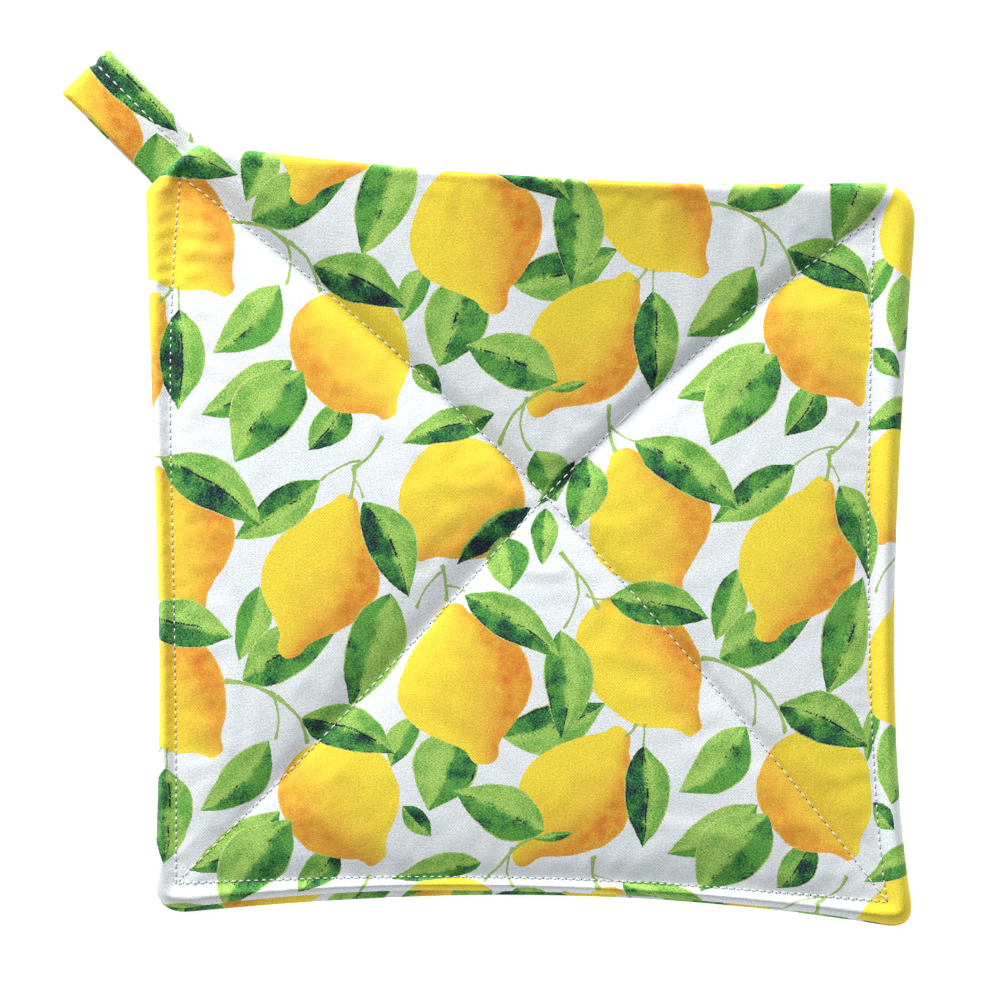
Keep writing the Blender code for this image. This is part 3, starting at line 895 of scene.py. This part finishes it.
# The strip from one end to the other: how far out from the corner, and how high, in mm.
lower_leg = [(-5.0, 2.3), (-2.5, 2.3), (0.0, 2.15), (1.5, 1.90), (3.5, 1.45), (6.0, 0.95),
             (9.0, leg_touches)]
lower_leg += [(11.0 + 2.0 * step, leg_touches) for step in range(9)]
fold_angles = [pi * (step / (LOOP_FOLD_STEPS - 1) - 0.5) for step in range(LOOP_FOLD_STEPS)]
fold = [(fold_along + fold_radius * cos(angle),
         leg_touches + fold_radius + fold_radius * sin(angle)) for angle in fold_angles]
upper_leg = [(27.0 - 2.0 * step, leg_top - LOOP_DROOP * (2.0 * step) ** 2)
             for step in range(10)]
upper_leg += [(7.0, 4.75), (5.0, 4.4), (3.0, 4.05), (1.0, 3.75), (-1.0, 3.6), (-3.0, 3.6),
              (-5.0, 3.6)]
strip = [Vector(point) for point in lower_leg + fold + upper_leg]
strip_lengths = [0.0]
for before, after in zip(strip, strip[1:]):
    strip_lengths.append(strip_lengths[-1] + (after - before).length)
fold_length = 0.5 * strip_lengths[-1]


loop_outward = Vector((cos(LOOP_ANGLE), sin(LOOP_ANGLE)))
loop_across = Vector((loop_outward.y, -loop_outward.x))


def loop_plan(along, edge):
    """Point of the strip in plan, at a place across it from -1 to 1."""
    share = along / LOOP_LENGTH
    half_width = 0.5 * (LOOP_BASE_WIDTH + (LOOP_FOLD_WIDTH - LOOP_BASE_WIDTH) * share)
    half_width += LOOP_FLARE * max(0.0, (along - fold_along) / fold_radius)
    skewed = along - edge * LOOP_SKEW * (1 - share)
    return LOOP_BASE + loop_outward * skewed + loop_across * edge * half_width


bpy.ops.object.select_all(action="DESELECT")
bpy.ops.mesh.primitive_grid_add(x_subdivisions=LOOP_COLUMNS, y_subdivisions=len(strip) - 1,
                                size=1)
loop = bpy.context.object
loop.name = "loop_strip"
print_along = Vector((cos(LOOP_PRINT_WAY), sin(LOOP_PRINT_WAY)))
print_across = Vector((-print_along.y, print_along.x))
print_along /= LOOP_STRETCH
loop_cloth = []
for index, vert in enumerate(loop.data.vertices):
    row, column = divmod(index, LOOP_COLUMNS + 1)
    edge = 2 * column / LOOP_COLUMNS - 1
    along, height = strip[row]
    in_fold = max(0.0, (along - fold_along) / fold_radius)
    dip = exp(-(abs(edge - LOOP_STITCH_SIDE) / LOOP_STITCH_DIP) ** 2)
    plan = loop_plan(along - LOOP_NOTCH * in_fold * dip, edge)
    out = 1 if strip_lengths[row] > fold_length else -1
    drawn = LOOP_PUCKER * dip * (1 - in_fold) * out
    vert.co = Vector((*(plan * MM + PANEL_SHIFT), (height - drawn) * MM))
    from_fold = strip_lengths[row] - fold_length
    half_width = 0.5 * LOOP_FOLD_WIDTH
    place = LOOP_PRINT_START + print_along * from_fold + print_across * (edge - 0.5) * half_width
    loop_cloth.append(on_print(*place))
layer = loop.data.uv_layers[0]
layer.name = "cloth"
for corner in loop.data.loops:
    layer.data[corner.index].uv = loop_cloth[corner.vertex_index]
thickness = loop.modifiers.new("folded layers", "SOLIDIFY")
thickness.thickness = LOOP_THICKNESS * MM
thickness.offset = 0.0
bpy.ops.object.modifier_apply(modifier="folded layers")
smooth_cloth(loop)
cover_in_cotton(loop, "loop printed cotton")
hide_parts("hanging_loop")
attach(loop, "root")

# ---- Stitching ----
# White sewing thread in short lockstitches: the two crossing lines of quilting, the topstitching
# of the left, bottom and right sides, and the line down the loop. Each stitch runs from one
# needle hole to the next and is pulled a little into the cloth.
THREAD_WIDTH = 0.40
STITCH_SHARE = 0.66         # how much of the way between two needle holes a stitch shows
STITCH_RISE = 0.10          # how far the middle of a stitch is above the cloth
STITCH_SINK = 0.30          # how far a stitch's ends dive below its middle
# Size of the flat near-black bead in each needle hole, which is painted shade for its pit, in mm.
HOLE_SHADE_WIDTH = 0.46
HOLE_SHADE_DEPTH = 0.10
QUILTING_PITCH = 2.65
TOPSTITCH_PITCH = 2.05
LOOP_PITCH = 2.8
TOPSTITCH_SHARE = 0.55      # the same for the topstitching, which shows less of its thread
QUILTING_SINK = 0.05        # how much deeper the quilting's thread lies, in mm
NEEDLE_START = 0.05         # how far from the table a needle starts, in m
THREAD_CLEARANCE = 0.003    # how far off the cloth's straight line a stitch can lie, in m
SIDE_STEPS, QUILTING_STEPS = 200, 80     # straight bits that make up each side's path and half
                                         # of a line of quilting

thread = new_material("white sewing thread", {"Base Color": (0.86, 0.87, 0.86, 1),
                                              "Roughness": 0.55})
# Needle holes are painted shade: a flat near-black bead lies in each one.
hole_painted_shade = new_material("needle hole", {"Base Color": (0.05, 0.05, 0.055, 1),
                                         "Roughness": 1.0})


def even_points(path, pitch):
    """Points a pitch apart along a path."""
    points, left = [path[0]], pitch
    for before, after in zip(path, path[1:]):
        length = (after - before).length
        while length >= left:
            before = before.lerp(after, left / length)
            points.append(before)
            length -= left
            left = pitch
        left -= length
    return points


def surface_under(tree, point, down):
    """Place and normal of a cloth where a needle passes through it."""
    way = -1 if down else 1
    start = Vector((*(Vector(point) * MM + PANEL_SHIFT), -way * NEEDLE_START))
    return tree.ray_cast(start, Vector((0, 0, way)))[:2]


# Stitches and needle holes are both small round beads, pulled out or pressed flat. A needle
# hole's flat, near-black bead is painted shade for the pit that the needle leaves.
bpy.ops.object.select_all(action="DESELECT")
bpy.ops.mesh.primitive_uv_sphere_add(segments=6, ring_count=6, radius=0.5)
bead = bpy.context.object
bead_points = np.array([vert.co for vert in bead.data.vertices])[:, [2, 0, 1]]
bead_faces = [tuple(face.vertices) for face in bead.data.polygons]
bpy.data.objects.remove(bead)


def add_bead(points, faces, shape, axes, place):
    """Add a bead to the points and faces of a piece, from its shape in mm along three axes."""
    base = len(points) * len(bead_points)
    points.append(np.array(place) + shape @ axes * MM)
    faces += [tuple(base + index for index in face) for face in bead_faces]


def sew(name, cloth, paths, pitch, share=STITCH_SHARE, down=True, sink=0.0, skipped=(),
        wide=()):
    """Lockstitches along paths on a cloth, with a flat near-black bead of painted shade in each
    needle hole, as two joined meshes. The needle skipped some holes, where the thread floats
    over the cloth; a wide hole is a late start, with a painted shade bead twice as wide."""
    tree = BVHTree.FromObject(cloth, bpy.context.evaluated_depsgraph_get())
    stitches, holes = ([], []), ([], [])
    for number, path in enumerate(paths):
        needle = [(*surface_under(tree, point, down), 2.0 if (number, index) in wide else 1.0)
                  for index, point in enumerate(even_points(path, pitch))
                  if (number, index) not in skipped]
        needle = [hole for hole in needle if hole[0]]
        for (start, start_up, _), (end, end_up, _) in zip(needle, needle[1:]):
            up = (start_up + end_up).normalized()
            way = end - start
            length = way.length
            way.normalize()
            across = up.cross(way).normalized()
            up = way.cross(across)
            middle = 0.5 * (start + end)
            middle = tree.ray_cast(middle + up * THREAD_CLEARANCE, -up)[0] or middle
            shown = length / MM - pitch * (1 - share)
            shape = bead_points * np.array([shown, THREAD_WIDTH, THREAD_WIDTH])
            dive = STITCH_SINK * (2 * shape[:, 0] * MM / length) ** 2
            shape[:, 2] += STITCH_RISE - sink - dive
            add_bead(*stitches, shape, np.array([way, across, up]), middle)
        # A flat near-black bead of painted shade in each needle hole, twice as wide at a late
        # start.
        for place, up, size in needle:
            shape = bead_points[:, [1, 2, 0]] * np.array([HOLE_SHADE_WIDTH * size, HOLE_SHADE_WIDTH * size,
                                                          HOLE_SHADE_DEPTH])
            axes = np.array(up.to_track_quat("Z", "X").to_matrix()).T
            add_bead(*holes, shape, axes, place)
    for part, (points, faces), material in ((name, stitches, thread),
                                            (name + "_hole_shade", holes, hole_painted_shade)):
        mesh = bpy.data.meshes.new(part)
        mesh.from_pydata(np.concatenate(points).tolist(), [], faces)
        mesh.materials.append(material)
        mesh.shade_smooth()
        piece = bpy.data.objects.new(part, mesh)
        scene.collection.objects.link(piece)
        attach(piece, "root")


def side_path(side_name):
    """Topstitching along one side."""
    return [stitching_point(SIDES[side_name], step / SIDE_STEPS)
            for step in range(SIDE_STEPS + 1)]


def quilting_path(start_corner, end_corner):
    """Line of quilting from one corner of the topstitching through the crossing to another."""
    path = []
    for corner_name, inward in ((start_corner, True), (end_corner, False)):
        side = next(s for s in SIDES.values() if corner_name in (s.start, s.end))
        place = 1 if side.end == corner_name else -1
        line = [quilted_point(side, place, step / QUILTING_STEPS)
                for step in range(QUILTING_STEPS + 1)]
        path += line[::-1] if inward else line[1:]
    return path


# Needle holes missed by the second line of quilting, just right of the crossing.
FLOATS = {(1, hole) for hole in (65, 66, 67, 69, 70, 71)}

topstitched = [side_path("left"), side_path("bottom"), side_path("right")[::-1]]
quilted = [quilting_path("top_left", "bottom_right"), quilting_path("bottom_left", "top_right")]
sew("topstitching", front, topstitched, TOPSTITCH_PITCH, share=TOPSTITCH_SHARE, wide={(2, 0)})
sew("quilting", front, quilted, QUILTING_PITCH, sink=QUILTING_SINK, skipped=FLOATS)
sew("topstitching_behind", back, topstitched, TOPSTITCH_PITCH, down=False)
sew("quilting_behind", back, quilted, QUILTING_PITCH, down=False, sink=QUILTING_SINK)
loop_line = [loop_plan(LOOP_LENGTH - 2.0 - 2.0 * step, LOOP_STITCH_SIDE) for step in range(17)]
sew("loop_stitching", loop, [loop_line], LOOP_PITCH)
